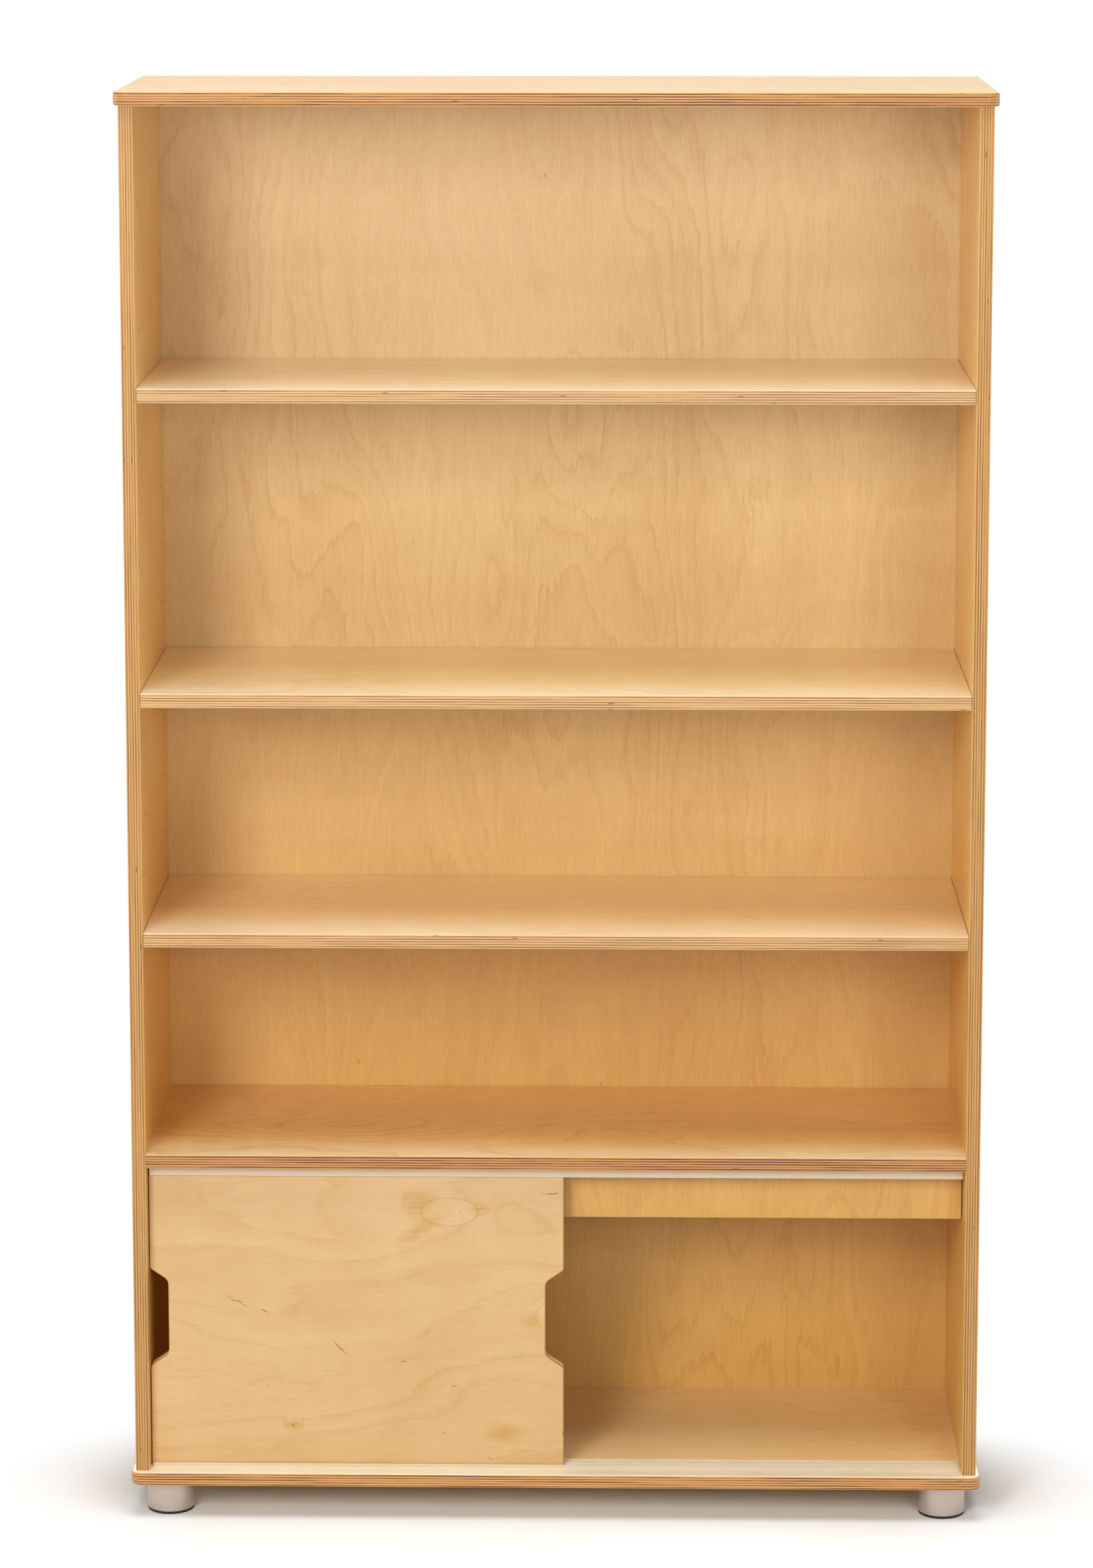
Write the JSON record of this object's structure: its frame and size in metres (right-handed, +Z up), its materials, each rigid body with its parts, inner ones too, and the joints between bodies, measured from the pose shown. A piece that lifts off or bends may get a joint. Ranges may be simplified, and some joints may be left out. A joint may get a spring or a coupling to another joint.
{
  "type": "bookcase with sliding doors",
  "caption": "Freestanding plywood bookcase with adjustable open shelves over a cupboard with two by-pass sliding doors, on short round metal feet.",
  "frame": {"origin": "on the floor under the middle of the bookcase, at the bounding box's bottom centre", "axes": "+Z up, +X to the right seen from the front, +Y from the front to the back"},
  "size_m": [0.907, 0.303, 1.5215],
  "materials": {
    "birch_plywood": "clear satin lacquer",
    "birch_door": "clear satin lacquer",
    "birch_back": "clear satin lacquer",
    "birch_tongue": "bare plywood",
    "cream_plastic": "matt",
    "satin_nickel": "satin",
    "black_rubber": "matt",
    "zinc_steel": "bright zinc"
  },
  "bodies": {
    "carcass": {"top_board": "birch_plywood", "base_board": "birch_plywood", "left_side_panel": "birch_plywood", "right_side_panel": "birch_plywood", "cupboard_ceiling": "birch_plywood", "cupboard_rail": "birch_plywood", "back_panel": "birch_back", "lower_track": "cream_plastic", "upper_track": "cream_plastic", "lower_shelf": "birch_plywood", "lower_shelf_pins": "zinc_steel", "middle_shelf": "birch_plywood", "middle_shelf_pins": "zinc_steel", "upper_shelf": "birch_plywood", "upper_shelf_pins": "zinc_steel", "top_tongues": "birch_tongue", "base_tongues": "birch_tongue", "ceiling_tongues": "birch_tongue", "rail_tongue": "birch_tongue", "foot_front_left": "satin_nickel", "foot_front_right": "satin_nickel", "foot_back_left": "satin_nickel", "foot_back_right": "satin_nickel", "foot_pad_front_left": "black_rubber", "foot_pad_front_right": "black_rubber", "foot_pad_back_left": "black_rubber", "foot_pad_back_right": "black_rubber", "foot_studs": "zinc_steel"},
    "front_sliding_door": {"front_door": "birch_door"},
    "rear_sliding_door": {"rear_door": "birch_door"}
  },
  "joints": [
    {"name": "front_door_slide", "type": "slide", "parent": "carcass", "child": "front_sliding_door", "axis": [1, 0, 0], "range_m": [0, 0.424]},
    {"name": "rear_door_slide", "type": "slide", "parent": "carcass", "child": "rear_sliding_door", "axis": [1, 0, 0], "range_m": [0, 0.424]}
  ]
}
